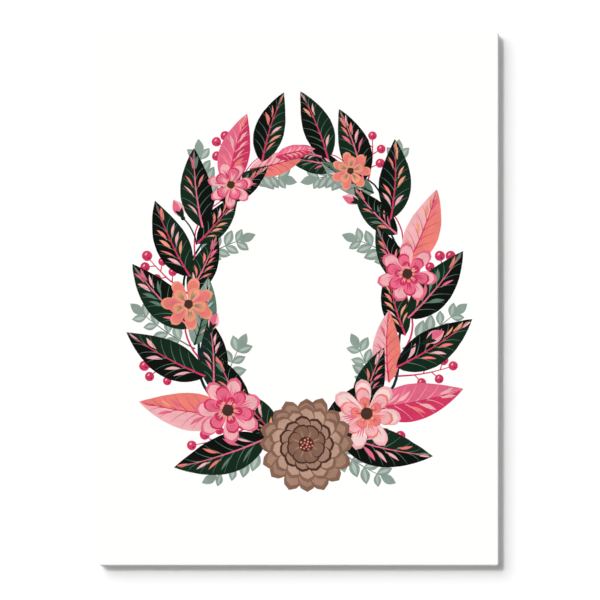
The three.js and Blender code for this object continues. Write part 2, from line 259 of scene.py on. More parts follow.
# %% The far walls of the room
# A pale dome stands for them. Only the camera and shiny surfaces see it, so it casts no light.
ROOM_RADIUS = 20
ROOM_GLOW = 0.78
plaster, tree, _ = new_finish("pale_plaster_far_away")
here = add_node(tree, "TexCoord", {}).outputs["Object"]
clouds = add_node(tree, "TexNoise", {"Vector": here, "Scale": scale_for(25000), "Detail": 1.0})
shades = {0: clouds, 6: linear("f3f2f0"), 7: linear("fcfbfa")}
tone = add_node(tree, "Mix", shades, data_type="RGBA").outputs[2]
glow = add_node(tree, "Emission", {"Color": tone, "Strength": ROOM_GLOW})
fill_inputs(tree, tree.nodes["Material Output"], {"Surface": glow})
bpy.ops.mesh.primitive_uv_sphere_add(segments=48, ring_count=24, radius=ROOM_RADIUS, location=middle)
backdrop("far_walls", plaster).visible_shadow = False
print("far walls", ROOM_RADIUS, "m away")

# %% [markdown]
# ## Inks
#
# The front carries a flat, poster-like botanical drawing. It could be a picture file, but a drawing
# made of outlines stays sharp at any size and is easy to change. So every leaf, petal and berry is
# a closed outline with the name of an ink, painted one over the other like gouache.

# %% Inks
INKS = {
    "bottle": "10281a",
    "night": "070d09",
    "moss": "5f7d6c",
    "sage": "8fa197",
    "sage_pale": "b5c2b9",
    "sage_dark": "5d6b63",
    "berry": "d13661",
    "rose": "ea6b8a",
    "blush": "f4b3b8",
    "pale": "f8d6d3",
    "coral": "ee8075",
    "peach": "ef9f7e",
    "clay": "a5806d",
    "umber": "886452",
    "bark": "4a3029",
    "sand": "bf9a86",
    "navy": "1b2533",
}
# The chances are seeded, so the drawing comes out the same each time.
chance = random.Random(24)
outlines = []
print(len(INKS), "inks")


# %% Strokes, dabs and spots
def paint(ink, outline):
    """Lays one shape on the face. Points are complex numbers, in millimetres from its middle."""
    area = sum((p.conjugate() * q).imag for p, q in zip(outline, outline[1:] + outline[:1]))
    outlines.append((ink, outline if area > 0 else outline[::-1]))


def turned(degrees):
    """The way that lies so many degrees anticlockwise from the right."""
    return complex(math.cos(math.radians(degrees)), math.sin(math.radians(degrees)))


def side_of(way):
    """The way to the left of another, one millimetre long."""
    return way * 1j / abs(way)


def bow(start, end, sag, steps):
    """Points from start to end that swing sideways by sag in the middle."""
    side = side_of(end - start) * sag * 4
    return [
        start + (end - start) * k / steps + side * (k / steps) * (1 - k / steps)
        for k in range(steps + 1)
    ]


def stroke(line, width, tip=0.15):
    """A brush stroke along a line. It starts at its width and thins to a share of it."""
    left = []
    right = []
    last = len(line) - 1
    for k, point in enumerate(line):
        side = side_of(line[min(k + 1, last)] - line[max(k - 1, 0)])
        half = side * width / 2 * (1 - (1 - tip) * k / last)
        left.append(point + half)
        right.append(point - half)
    return left + right[::-1]


def dab(start, end, width, sag=0.0, steps=6):
    """A touch of the brush, pointed at both ends."""
    line = bow(start, end, sag, steps)
    side = side_of(end - start)
    swell = [side * width / 2 * math.sin(math.pi * k / steps) for k in range(steps + 1)]
    top = [p + s for p, s in zip(line, swell)]
    low = [p - s for p, s in zip(line[1:-1], swell[1:-1])]
    return top + low[::-1]


def disc(centre, radius, sides=14):
    """A round spot."""
    return [centre + radius * turned(360 * k / sides) for k in range(sides)]


# %% [markdown]
# ## Leaves, petals and berries
#
# A drawn leaf is a blade with one half in shade, a midrib that thins to the tip, side veins, and
# flecks of pink between them. A petal is a rounded outline with a paler copy inside it and a few
# streaks from its foot. Each call to chance changes them a little, as a hand would.

# %% Leaves
# Inks of a leaf: its blade, the half in shade, the side veins, the midrib and the flecks.
DARK = ("bottle", "night", "moss", "rose", ("rose", "blush", "moss", "coral"))
DEEP = ("night", "bottle", "moss", "berry", ("coral", "peach", "blush"))
PINK = ("rose", "berry", "blush", "berry", ("blush", "coral"))
BLUSH = ("blush", "coral", "berry", "berry", ("rose", "peach"))
SAGE = ("sage", "moss", "bottle", "bottle", ("blush", "sage_pale"))
VEINS = 7
FIRST_VEIN = 0.12
VEIN_SPAN = 0.7
FLECK_CHANCE = 0.55


def grow(base, heading, length, curl):
    """The middle line of a leaf or stem, and its direction, as functions of the share grown."""
    way = turned(heading)

    def at(s):
        return base + way * (length * s + 1j * curl * length * s * s)

    def ahead(s):
        return side_of(way * (1 + 2j * curl * s)) * -1j

    return at, ahead


def leaf(base, heading, length, width, curl, look):
    """A lance-shaped leaf, broadest just below its middle."""
    blade, shade, vein_ink, rib_ink, fleck_inks = look
    steps = 18
    at, ahead = grow(base, heading, length, curl)

    def out(s, share):
        """A point that lies a share of the way from the midrib to the rim."""
        reach = width / 2 * math.sin(math.pi * s**0.8) ** 0.9
        return at(s) + ahead(s) * 1j * reach * share

    marks = [k / steps for k in range(steps + 1)]
    upper = [out(s, 1) for s in marks]
    lower = [out(s, -1) for s in marks[1:-1]]
    rib = [at(s) for s in marks]
    paint(blade, upper + lower[::-1])
    paint(shade, rib + lower[::-1])
    for k in range(VEINS):
        s = FIRST_VEIN + VEIN_SPAN * k / (VEINS - 1)
        for side in (1, -1):
            if chance.random() < FLECK_CHANCE:
                near = out(s + 0.04, side * 0.18)
                far = out(min(s + 0.2, 0.97), side * chance.uniform(0.6, 0.86))
                ink = chance.choice(fleck_inks)
                paint(ink, dab(near, far, length * chance.uniform(0.022, 0.05), side * -1.2))
            vein = bow(at(s), out(min(s + 0.17, 0.98), side * 0.9), side * -1.6, 5)
            paint(vein_ink, stroke(vein, 0.9, 0.3))
    paint(rib_ink, stroke(rib[:-1], 2.2, 0.25))


# %% Twigs
TWIG_PAIRS = 4
TWIG_LEAF = 25


def twig(base, heading, length, curl):
    """A thin stem with small grey-green leaves in pairs, each with a paler streak, and one at its end."""
    at, ahead = grow(base, heading, length, curl)
    paint("sage_dark", stroke([at(k / 8) for k in range(9)], 1.8, 0.4))
    for k in range(TWIG_PAIRS):
        s = 0.28 + 0.66 * k / (TWIG_PAIRS - 1)
        for side in (1, -1):
            out = ahead(s) * turned(side * chance.uniform(38, 56))
            reach = TWIG_LEAF * chance.uniform(0.82, 1.1) * (1 - 0.3 * s)
            paint("sage", dab(at(s), at(s) + out * reach, reach * 0.56, 0, 8))
            shine = dab(at(s) + out * reach * 0.1, at(s) + out * reach * 0.86, reach * 0.2)
            paint("sage_pale", shine)
    paint("sage", dab(at(1), at(1) + ahead(1) * TWIG_LEAF * 0.8, TWIG_LEAF * 0.42, 0, 8))


# %% Berries and buds
BERRIES = 5
BERRY_RADIUS = 5.6
BUD_STALK = 34


def berry(centre, radius):
    """A round berry with a shine to its upper left and a dark spot to its lower right."""
    shine = (centre + radius * (-0.5 + 0.1j), centre + radius * (-0.05 + 0.65j))
    paint("berry", disc(centre, radius, 18))
    paint("blush", dab(*shine, radius * 0.34, -0.5))
    paint("night", disc(centre + radius * (0.32 - 0.38j), radius * 0.16, 7))


def berry_spray(base, heading, length, curl):
    """A thin stem with berries to both sides and one at its end."""
    at, ahead = grow(base, heading, length, curl)
    paint("berry", stroke([at(k / 8) for k in range(9)], 2.2, 0.5))
    for k in range(BERRIES):
        s = 0.4 + 0.6 * k / (BERRIES - 1)
        last = k == BERRIES - 1
        out = ahead(s) * (1 if last else turned(55 if k % 2 else -55))
        far = at(s) + out * BERRY_RADIUS * (1.0 if last else 2.1)
        paint("berry", stroke([at(s), far], 1.5, 0.7))
        berry(far, BERRY_RADIUS * chance.uniform(0.85, 1.1))


def bud(stem_base, heading, length, sag):
    """A closed flower on its own stalk, held by two small green leaves."""
    way = turned(heading)
    base = stem_base + way * BUD_STALK
    paint("navy", stroke(bow(stem_base, base, sag, 6), 2.0, 0.8))
    paint("blush", dab(base, base + way * length, length * 0.56, 0, 9))
    paint("rose", dab(base + way * length * 0.1, base + way * length, length * 0.34, length * 0.07, 8))
    for side in (1, -1):
        tip = base + way * length * (0.5 + 0.2j * side)
        paint("bottle", dab(base - way * 2, tip, length * 0.2, side * -1.5))
    paint("bottle", disc(base, length * 0.11, 10))


# %% Blossoms
# Inks of a ring of petals: the fill, the rim and the streaks. The outermost ring comes first.
ROSE = (("blush", "rose", "rose"), ("rose", "berry", "berry"), ("berry", "rose", "blush"))
PALE = (("pale", "blush", "rose"), ("blush", "coral", "coral"), ("coral", "rose", "berry"))
CORAL = (("coral", "peach", "rose"), ("peach", "coral", "clay"))
SMALL = (("blush", "rose", "berry"), ("rose", "berry", "blush"))
# How many petals each ring has, in a blossom of three rings and in one of two.
PETALS = {3: (7, 6, 5), 2: (7, 5)}
SEEDS = 9
GOLDEN_TURN = 137.5


def petal(heart, heading, inner, outer, width, look, streaks):
    """A rounded petal with a rim, a fill and streaks from its foot."""
    ink, rim, streak = look
    way = turned(heading)
    steps = 12

    def at(s, across):
        """A point a share of the way out, and a share of the way to the petal's left rim."""
        swell = math.sin(math.pi * min(1.0, 0.05 + 0.95 * s) ** 1.9) ** 0.5
        return heart + way * (inner + (outer - inner) * s + 0.5j * across * width * swell)

    marks = [k / steps for k in range(steps)]
    edge = [at(s, 1) for s in marks] + [at(1, 0)] + [at(s, -1) for s in marks[::-1]]
    foot = heart + way * inner
    paint(rim, edge)
    paint(ink, [foot + (p - foot) * 0.9 for p in edge])
    for k in range(streaks):
        spread = (k - (streaks - 1) / 2) / streaks
        far = at(0.62 + 0.14 * chance.random(), spread * 1.1)
        paint(streak, dab(at(0.08, spread * 0.5), far, width * 0.07 + 0.5))


def blossom(heart, radius, looks):
    """Two or three rings of petals, then the heart and its seeds."""
    first = chance.uniform(0, 360)
    for level, (count, look) in enumerate(zip(PETALS[len(looks)], looks)):
        reach = radius * (1 - 0.27 * level)
        for k in range(count):
            heading = first + 25 * level + 360 * k / count + chance.uniform(-4, 4)
            outer = reach * chance.uniform(0.93, 1.04)
            width = reach * 3.1 / count * chance.uniform(0.94, 1.06)
            petal(heart, heading, radius * 0.06, outer, width, look, 3 if level < 2 else 2)
    paint("bark", disc(heart, radius * 0.17))
    for k in range(SEEDS):
        spot = heart + radius * (0.2 + 0.04 * (k % 2)) * turned(40 * k)
        paint("peach", disc(spot, radius * 0.032 + 0.5, 8))


def clay_bloom(heart, radius):
    """The big clay-coloured flower: four close rings of narrow petals round a disc of seeds."""
    rings = (
        (16, 1.0, ("clay", "umber", "bark")),
        (14, 0.8, ("sand", "umber", "umber")),
        (11, 0.6, ("clay", "bark", "bark")),
        (8, 0.42, ("umber", "bark", "clay")),
    )
    for level, (count, share, look) in enumerate(rings):
        reach = radius * share
        for k in range(count):
            heading = 360 * (k + 0.5 * (level % 2)) / count + chance.uniform(-3, 3)
            outer = reach * chance.uniform(0.95, 1.03)
            petal(heart, heading, radius * 0.05, outer, 2 * math.pi * reach / count, look, 1)
    paint("bark", disc(heart, radius * 0.16))
    for k in range(14):
        spot = heart + radius * 0.036 * math.sqrt(k + 0.4) * turned(GOLDEN_TURN * k)
        paint("coral" if k % 3 else "peach", disc(spot, 1.15, 8))


# %% [markdown]
# ## The wreath
#
# The drawing is an oval wreath. Two stems start at its foot and climb both sides, and everything
# else grows out of them, so one function gives a point of the oval and the way the stem runs there.
# What lies behind is painted first: twigs and berries, then stems, leaves, and the blossoms on top.
# In the lists below, a side is 1 on the right and -1 on the left, a climb is in degrees from the
# foot, and a lean is how far a thing turns away from the stem, outwards if it is above zero.

# %% The oval, its twigs, berries and stems
OVAL = (126, 166)
BOTH_SIDES = (1, -1)
# Climb, lean and length of each.
TWIGS = ((14, 58, 74), (46, -50, 62), (70, 48, 70), (104, -46, 60), (128, 50, 62), (150, -38, 42))
SPRAYS = ((28, 64, 60), (58, 66, 64), (92, 60, 58), (142, 62, 50))
STEM_SWING = 6.5


def on_oval(side, climb, drift=0.0):
    """A point of the oval, so many degrees up from its foot, and the heading of the stem there."""
    angle = math.radians(climb - 90)
    across, up = OVAL[0] + drift, OVAL[1] + drift
    point = complex(across * math.cos(angle) * side, up * math.sin(angle))
    way = complex(-across * math.sin(angle) * side, up * math.cos(angle))
    return point, math.degrees(math.atan2(way.imag, way.real))


def stem(side, ink, width, phase):
    """One of the winding stems, from the foot of the oval to its top."""
    drifts = [STEM_SWING * math.sin(phase + k * 0.42) for k in range(61)]
    paint(ink, stroke([on_oval(side, 2 + 2.8 * k, drift)[0] for k, drift in enumerate(drifts)], width, 0.35))


for side in BOTH_SIDES:
    for climb, lean, length in TWIGS:
        at, way = on_oval(side, climb)
        twig(at, way - side * lean, length, side * 0.12)
    for climb, lean, length in SPRAYS:
        at, way = on_oval(side, climb)
        berry_spray(at, way - side * lean, length, side * 0.18)
for side in BOTH_SIDES:
    stem(side, "navy", 4.2, 0.0)
    stem(side, "berry", 3.0, 2.8)
print(len(outlines), "shapes behind the leaves")

# %% Leaves of the wreath
# The leaves stand in eight rows. The top row is painted first, so that each covers the one above.
LOOKS_OUT = (DARK, PINK, DEEP, DARK, BLUSH, DEEP, DARK, DEEP)
LOOKS_IN = (DEEP, DARK, BLUSH, DEEP, DARK, DARK, SAGE, DARK)
TOP_ROW = 7
TOP_LEAN = 55
FIRST_CLIMB = 12
ROW_CLIMB = 20.5
ROW_SHRINK = 0.035
INNER_LENGTH, INNER_WIDTH, INNER_CURL = 88, 35, -0.14
OUTER_LENGTH, OUTER_WIDTH, OUTER_CURL = 110, 45, 0.13
for row in range(TOP_ROW, -1, -1):
    for side in BOTH_SIDES:
        order = row if side == 1 else (row + 3) % 8
        climb = FIRST_CLIMB + ROW_CLIMB * row + side * 2
        shrink = 1 - ROW_SHRINK * row
        at, way = on_oval(side, climb)
        heading = way + side * (40 - 2 * row)
        length, width = INNER_LENGTH * shrink, INNER_WIDTH * shrink
        leaf(at, heading, length, width, side * INNER_CURL, LOOKS_IN[order])
        at, way = on_oval(side, climb + 7)
        lean = TOP_LEAN if row == TOP_ROW else 47 - 2 * row
        length, width = OUTER_LENGTH * shrink, OUTER_WIDTH * shrink
        leaf(at, way - side * lean, length, width, side * OUTER_CURL, LOOKS_OUT[order])
for side, look in ((1, DARK), (-1, PINK)):
    at, way = on_oval(side, 168)
    leaf(at, way - side * 2, 46, 17, side * 0.1, look)
print(len(outlines), "shapes with the leaves")

# %% Buds of the wreath
# Side, climb, lean and length of each.
BUDS = (
    (1, 66, 40, 26),
    (-1, 20, -38, 24),
    (1, 126, -40, 22),
    (-1, 112, 44, 24),
    (-1, 66, -42, 22),
)
for side, climb, lean, length in BUDS:
    at, way = on_oval(side, climb)
    bud(at, way - side * lean, length, side * 3)
print(len(outlines), "shapes with the leaves and buds")

# %% Blossoms of the wreath
# Side, climb, radius and inks of each.
BLOSSOMS = (
    (-1, 142, 27, SMALL),
    (1, 152, 23, CORAL),
    (1, 100, 35, ROSE),
    (-1, 88, 31, CORAL),
    (1, 38, 42, PALE),
    (-1, 40, 40, ROSE),
)
CLAY_CLIMB, CLAY_SHIFT, CLAY_RADIUS = 2, 4, 55
for side, climb, radius, looks in BLOSSOMS:
    blossom(on_oval(side, climb)[0], radius, looks)
clay_bloom(on_oval(1, CLAY_CLIMB)[0] + CLAY_SHIFT, CLAY_RADIUS)
print(len(outlines), "painted shapes,", sum(len(outline) for _, outline in outlines), "points")

# %% [markdown]
# ## The cloth
#
# A wrapped canvas is one sheet: flat in front, round over the edge of the frame, down the sides and
# turned over onto the back, where it ends in a cut edge. It could be a subdivided plane that is
# folded step by step, but its edge runs round all four sides in the same way, so it is lofted:
# one section of the cloth, front to back and home again along the inside, is carried round the
# frame. At the corners the spare cloth is tucked under the top and bottom flaps, which therefore
# end in a crisp fold and stand a little proud.

# %% Staples: where the cloth is pressed down
half_sizes = ((WIDTH / 2, HEIGHT / 2), (HEIGHT / 2, WIDTH / 2)) * 2
CROWN_SLACK = 0.05 * MM


def ways(k):
    """The way out of the frame on side k, and the way along that side."""
    return turned(90 * k), turned(90 * k + 90)


def crown_ends(node):
    """The two ends of a staple's crown, seen from behind, in millimetres from the middle."""
    points = [vertex.co for vertex in node.data.vertices]
    back = max(p.y for p in points)
    crown = [complex(p.x - middle.x, p.z - middle.z) / MM for p in points if back - p.y < CROWN_SLACK]
    centre = sum(crown) / len(crown)
    half = max(crown, key=lambda p: abs(p - centre)) - centre
    return centre - half, centre + half


staples = {name: crown_ends(node) for name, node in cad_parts.items() if name.startswith("staple")}
print(len(staples), "staples")

# %% Columns: the places round the frame
FOLD_STEP = 0.12
FINE_STEP = 1.5
WIDE_STEP = 6.0
CORNER_REACH = 24
STAPLE_REACH = 9
ARC_STEPS = 4
TINY = 0.01


def along_side(k, reach):
    """Where columns stand on side k, counted from its middle: close together where the cloth works."""
    out, along = ways(k)
    centres = [(start + end) / 2 for start, end in staples.values()]
    flap = half_sizes[k][0] - TURNOVER
    busy = [(c * along.conjugate()).real for c in centres if (c * out.conjugate()).real > flap]
    stops = [-reach]
    while stops[-1] < reach - FINE_STEP:
        here = stops[-1]
        near_corner = reach - abs(here) < CORNER_REACH
        near_staple = any(abs(here - b) < STAPLE_REACH for b in busy)
        step = FINE_STEP if near_corner or near_staple else WIDE_STEP
        ahead = [b - STAPLE_REACH for b in busy if b - STAPLE_REACH > here + TINY]
        ahead.append(reach - CORNER_REACH if here < reach - CORNER_REACH - TINY else reach)
        stops.append(min(here + step, *ahead) if step == WIDE_STEP else here + step)
    stops[-1] = reach
    return stops


columns = []
for k in range(4):
    straight = half_sizes[k][1] - CORNER_RADIUS
    folded = k % 2 == 1
    reach = straight - FOLD_STEP if folded else straight
    for stop in along_side(k, reach):
        columns.append({"side": k, "stop": stop / straight, "folded": folded})
    turns = range(ARC_STEPS) if folded else range(1, ARC_STEPS + 1)
    columns += [{"side": k, "turn": step / ARC_STEPS} for step in turns]
print(len(columns), "columns")


# %% Section: the rings from the front to the cut edge and home again
def section(curve_steps, side_steps, back_steps, flap_steps):
    """Each ring as inset from the outer edge, depth behind the face, way along the cloth, and tilt."""
    rings = []
    quarter = math.pi / 2
    curve = EDGE_RADIUS * quarter
    for step in range(curve_steps + 1):
        tilt = quarter * step / curve_steps
        inset = EDGE_RADIUS * (1 - math.sin(tilt))
        rings.append((inset, EDGE_RADIUS * (1 - math.cos(tilt)), EDGE_RADIUS * tilt, tilt))
    side = DEPTH - 2 * EDGE_RADIUS
    for step in range(1, side_steps + 1):
        down = side * step / side_steps
        rings.append((0, EDGE_RADIUS + down, curve + down, quarter))
    for step in range(1, back_steps + 1):
        tilt = quarter * step / back_steps
        inset = EDGE_RADIUS * (1 - math.cos(tilt))
        depth = DEPTH - EDGE_RADIUS * (1 - math.sin(tilt))
        rings.append((inset, depth, curve + side + EDGE_RADIUS * tilt, quarter + tilt))
    flap = TURNOVER - EDGE_RADIUS
    for step in range(1, flap_steps + 1):
        inwards = flap * step / flap_steps
        rings.append((EDGE_RADIUS + inwards, DEPTH, 2 * curve + side + inwards, math.pi))
    return rings


outer_rings = section(curve_steps=6, side_steps=6, back_steps=5, flap_steps=14)
inner_section = section(curve_steps=4, side_steps=2, back_steps=3, flap_steps=3)
inner_rings = [
    (inset + CLOTH * math.sin(tilt), depth + CLOTH * math.cos(tilt), way, tilt)
    for inset, depth, way, tilt in inner_section[::-1]
]
print(len(outer_rings), "outer rings,", len(inner_rings), "inner rings")

# %% How the cloth bulges over the folds
TUCK_RAISE = 0.6
TUCK_SOFTNESS = 1.6
TUCK_START = (0.5, 5)


def plan_point(column, inset):
    """Where a column meets the ring at an inset, and the way out of the frame there."""
    k = column["side"]
    out, along = ways(k)
    radius = max(CORNER_RADIUS - inset, SHARPEST_CORNER)
    across = half_sizes[k][0] - inset
    straight = half_sizes[k][1] - inset - radius
    if "stop" in column:
        return out * across + along * column["stop"] * straight, out
    way = out * turned(90 * column["turn"])
    return out * (across - radius) + along * straight + way * radius, way


def smooth_share(value, low, high):
    """From 0 at low to 1 at high, with a soft start and end."""
    share = min(max((value - low) / (high - low), 0), 1)
    return share * share * (3 - 2 * share)


def tuck_raise(column, inset, way):
    """How far the top and bottom flaps stand proud over the cloth tucked under their ends."""
    if not column.get("folded"):
        return 0.0
    straight = half_sizes[column["side"]][1] - inset - SHARPEST_CORNER
    from_fold = straight * (1 - abs(column["stop"]))
    tucked = min(way, DEPTH)
    reach = 1 - smooth_share(from_fold, tucked - TUCK_SOFTNESS, tucked + TUCK_SOFTNESS)
    return TUCK_RAISE * smooth_share(way, *TUCK_START) * reach


# %% How the cloth bulges beside the staples
PUFF_RAISE = 0.42
CORNER_PUFF_RAISE = 0.75
PUFF_REACH = 24
PUFF_SPREAD = 4.5
DENT_SPREAD = 0.9
DENT_SHARE = 0.4


def staple_swell(point):
    """How far the cloth puffs up beside each staple and is pressed down under its crown."""
    swell = 0.0
    for name, (start, end) in staples.items():
        if abs(point - start) > PUFF_REACH:
            continue
        crown = end - start
        share = min(max(((point - start) * crown.conjugate()).real / abs(crown) ** 2, 0), 1)
        gap = abs(point - start - crown * share)
        dent = DENT_SHARE * math.exp(-((gap / DENT_SPREAD) ** 2))
        raised = CORNER_PUFF_RAISE if "corner" in name else PUFF_RAISE
        swell = max(swell, raised * (math.exp(-((gap / PUFF_SPREAD) ** 2)) * (1 - dent)))
    return swell


# %% Loft the cloth
# The cut edge wanders, as scissors do: in slow waves, and in quick ones a third as large.
EDGE_WANDER = 0.7
WANDER_START = 8
SLOW_WAVES = 0.06
QUICK_WAVES = 0.7
QUICK_SHARE = 0.3
points = []
rings = []
for number, (inset, depth, way, tilt) in enumerate(outer_rings + inner_rings):
    ring = []
    outside = number < len(outer_rings)
    cut = EDGE_WANDER * smooth_share(inset, TURNOVER - WANDER_START, TURNOVER)
    for column in columns:
        spot, _ = plan_point(column, inset)
        wander = noise.noise(Vector((spot.real, spot.imag, 3.0)) * SLOW_WAVES)
        wander += QUICK_SHARE * noise.noise(Vector((spot.real, spot.imag, 8.0)) * QUICK_WAVES)
        spot, out = plan_point(column, inset + cut * wander)
        lift = 0.0
        if outside:
            proud = tuck_raise(column, inset, way)
            if tilt > math.pi - TINY:
                proud = max(proud, staple_swell(spot))
            spot += out * proud * math.sin(tilt)
            lift = -proud * math.cos(tilt)
        ring.append(len(points))
        points.append((spot.real, depth + lift, spot.imag))
    rings.append(ring)
print(len(rings), "rings of", len(rings[0]), "points")

# %% [markdown]
# ## The printed face
#
# The face closes the front of the loft. It is cut into triangles along every painted outline, with
# the rim of the loft as its border, so each triangle lies wholly in one ink or in bare white ground.
# The last shape painted over a triangle gives its ink. The inks wander a little off their outlines,
# as a brush does.

# %% Cut the face along the outlines
WOBBLE = 0.35
WOBBLE_WAVES = 0.11
GRID = 14
GRID_EDGE = 2
WELD = 1e-4


def rim_of(ring):
    """A ring of the loft, seen from the front."""
    return [Vector((points[i][0], points[i][2])) for i in ring]


rim = rim_of(rings[0])
grid = [
    Vector((column * GRID - WIDTH / 2 + GRID_EDGE, row * GRID - HEIGHT / 2 + GRID_EDGE))
    for row in range(1, int(HEIGHT / GRID))
    for column in range(1, int(WIDTH / GRID))
]


def wobbled(p):
    """A point moved off its place by a smooth noise, as a brush wanders."""
    at = Vector((p.real, p.imag, 0)) * WOBBLE_WAVES
    elsewhere = at + Vector((0, 0, 9))
    return Vector((p.real + WOBBLE * noise.noise(at), p.imag + WOBBLE * noise.noise(elsewhere)))


def cut_face(shapes):
    """Cuts the face along the rim and the given shapes. A triangle's last shape is its topmost."""
    plan = list(rim)
    loops = [list(range(len(rim)))]
    for number in shapes:
        outline = outlines[number][1]
        loops.append(list(range(len(plan), len(plan) + len(outline))))
        plan.extend(wobbled(p) for p in outline)
    spots, _, corners, spot_origins, _, origins = delaunay_2d_cdt(plan + grid, [], loops, 1, WELD, True)
    tops = [max(loops_round) - 1 for loops_round in origins]
    return spots, corners, spot_origins, [shapes[top] if top >= 0 else None for top in tops]


_, every_face, _, every_ink = cut_face(range(len(outlines)))
showing = sorted({shape for shape in every_ink if shape is not None})
cut_points, cut_faces, point_origins, inks = cut_face(showing)
print(len(showing), "of", len(outlines), "shapes show")
print(len(every_face), "triangles, or", len(cut_faces), "without the hidden shapes")


# %% Build the cloth's mesh
def facing(corners, flat_points, front):
    """The corners of a flat triangle in the order that makes it face the front, or the back."""
    a, b, c = (flat_points[i] for i in corners)
    return corners if ((b - a).cross(c - a) > 0) == front else corners[::-1]


face_spots = []
for place, origins in zip(cut_points, point_origins):
    on_rim = [i for i in origins if i < len(rim)]
    if on_rim:
        face_spots.append(rings[0][on_rim[0]])
    else:
        face_spots.append(len(points))
        points.append((place.x, 0.0, place.y))
faces = [[face_spots[i] for i in facing(corners, cut_points, True)] for corners in cut_faces]
printed_faces = len(faces)
for front, back in zip(rings, rings[1:]):
    for k in range(len(columns)):
        after = (k + 1) % len(columns)
        faces.append([front[k], back[k], back[after], front[after]])
outer_faces = printed_faces + (len(outer_rings) - 1) * len(columns)
lining = delaunay_2d_cdt(rim_of(rings[-1]), [], [list(range(len(columns)))], 1, WELD, True)
lining_points, _, lining_faces, lining_origins = lining[:4]
for corners in lining_faces:
    faces.append([rings[-1][lining_origins[i][0]] for i in facing(corners, lining_points, False)])

mesh = bpy.data.meshes.new("canvas_sheet")
mesh.from_pydata([placed(*p) for p in points], [], faces)
mesh.update()
canvas = new_object("canvas_sheet", mesh)
mesh.polygons.foreach_set("use_smooth", [printed_faces <= i for i in range(len(faces))])
checker = bmesh.new()
checker.from_mesh(mesh)
open_edges = sum(1 for e in checker.edges if len(e.link_faces) != 2)
volume = checker.calc_volume(signed=True)
area = sum(f.calc_area() for f in checker.faces) / 2
checker.free()
print(sum(len(p.vertices) - 2 for p in mesh.polygons), "triangles,", open_edges, "open edges")

# %% Colour each triangle with its ink
# The lamps light the face a little above full white, as in a bright photograph, so the inks are
# laid on darker by as much. Alpha says whether a corner is inked, and the ground stays bare.
GROUND = linear("f7f6f4")
TONE_SPREAD = 0.05
FACE_LIGHT = 1.12
tones = random.Random(5)
shape_tones = [1 + tones.uniform(-TONE_SPREAD, TONE_SPREAD) for _ in outlines]
ink_colours = {name: linear(code) for name, code in INKS.items()}
colours = []
for number, face in enumerate(faces):
    shape = inks[number] if number < printed_faces else None
    if shape is None:
        colour = (*GROUND[:3], 0.0)
    else:
        tone = shape_tones[shape] / FACE_LIGHT
        colour = (*(part * tone for part in ink_colours[outlines[shape][0]][:3]), 1.0)
    colours.extend(colour * len(face))
ink_layer = mesh.color_attributes.new("ink", "FLOAT_COLOR", "CORNER")
ink_layer.data.foreach_set("color", colours)
print("inks that show:", len({outlines[shape][0] for shape in showing}))

# %% Lay the cloth out flat, once for its threads and once into a single square picture
# The map called threads gives each point its place on the cut cloth, in metres, so that the weave
# runs over the edge of the frame unbroken. The other gives the face most of a square picture, with
# the lining small in a corner, and each side as an upright strip: outer strips first, inner ones
# last. In it a spot is where a part has its middle, and a share is its size there for one metre.
FACE_SPOT, FACE_SHARE = (0.36, 0.5), 1.5
LINING_SPOT, LINING_SHARE = (0.86, 0.82), 0.5
OUTER_STRIPS = (0.735, 0.048, 1.0)
INNER_STRIPS = (0.932, 0.0165, 0.35)
STRIP_MIDDLE = 0.33
OUTER_FRONT_ROWS, INNER_FRONT_ROWS = 3, 2
thread_uv = []
export_uv = []
ring_ways = {index: way for ring, (_, _, way, _) in zip(rings, outer_rings + inner_rings) for index in ring}
for number, face in enumerate(faces):
    level, column = divmod(number - printed_faces, len(columns))
    outside = number < outer_faces
    front_rows = OUTER_FRONT_ROWS if outside else INNER_FRONT_ROWS
    flat = not front_rows <= level < len(rings) - 1 - front_rows
    k = columns[column]["side"]
    out, along = ways(k)
    for index in face:
        x, _, z = points[index]
        if flat:
            spot, share = (FACE_SPOT, FACE_SHARE) if outside else (LINING_SPOT, LINING_SHARE)
            thread_uv += (x * MM, z * MM)
            export_uv += (spot[0] + x * MM * share, spot[1] + z * MM * share)
        else:
            left, step, share = OUTER_STRIPS if outside else INNER_STRIPS
            run = (complex(x, z) * along.conjugate()).real
            way = ring_ways[index]
            cut_place = out * (half_sizes[k][0] - EDGE_RADIUS + way) + along * run
            thread_uv += (cut_place.real * MM, cut_place.imag * MM)
            export_uv += (left + step * k + way * MM * share, STRIP_MIDDLE + run * MM * share)
for name, places in (("threads", thread_uv), ("OFBake", export_uv)):
    mesh.uv_layers.new(name=name)
    mesh.uv_layers[name].data.foreach_set("uv", places)
print(len(thread_uv) // 2, "corners mapped")

# %% [markdown]
# ## Primed and printed cotton
#
# Artist's canvas is a plain weave of cotton, primed white and printed with pigment inks. The eye
# gets a matt, faintly nubbly surface: light catches the top of each thread, and the ink lies a
# little thinner there. On top of that the tops are painted lighter and the dips darker, as painted
# shade. The real threads are 0.7 mm apart, too fine for this picture, so they are drawn 1.4 mm
# apart. A wave each way gives the threads, and a checker says which of the two is on top. That one
# is highest where it crosses, and dips to both ends, where it goes under.

# %% Weave
THREAD = 1.4
# A wave texture of scale 1 repeats at this length.
WAVE_PERIOD = 0.31416


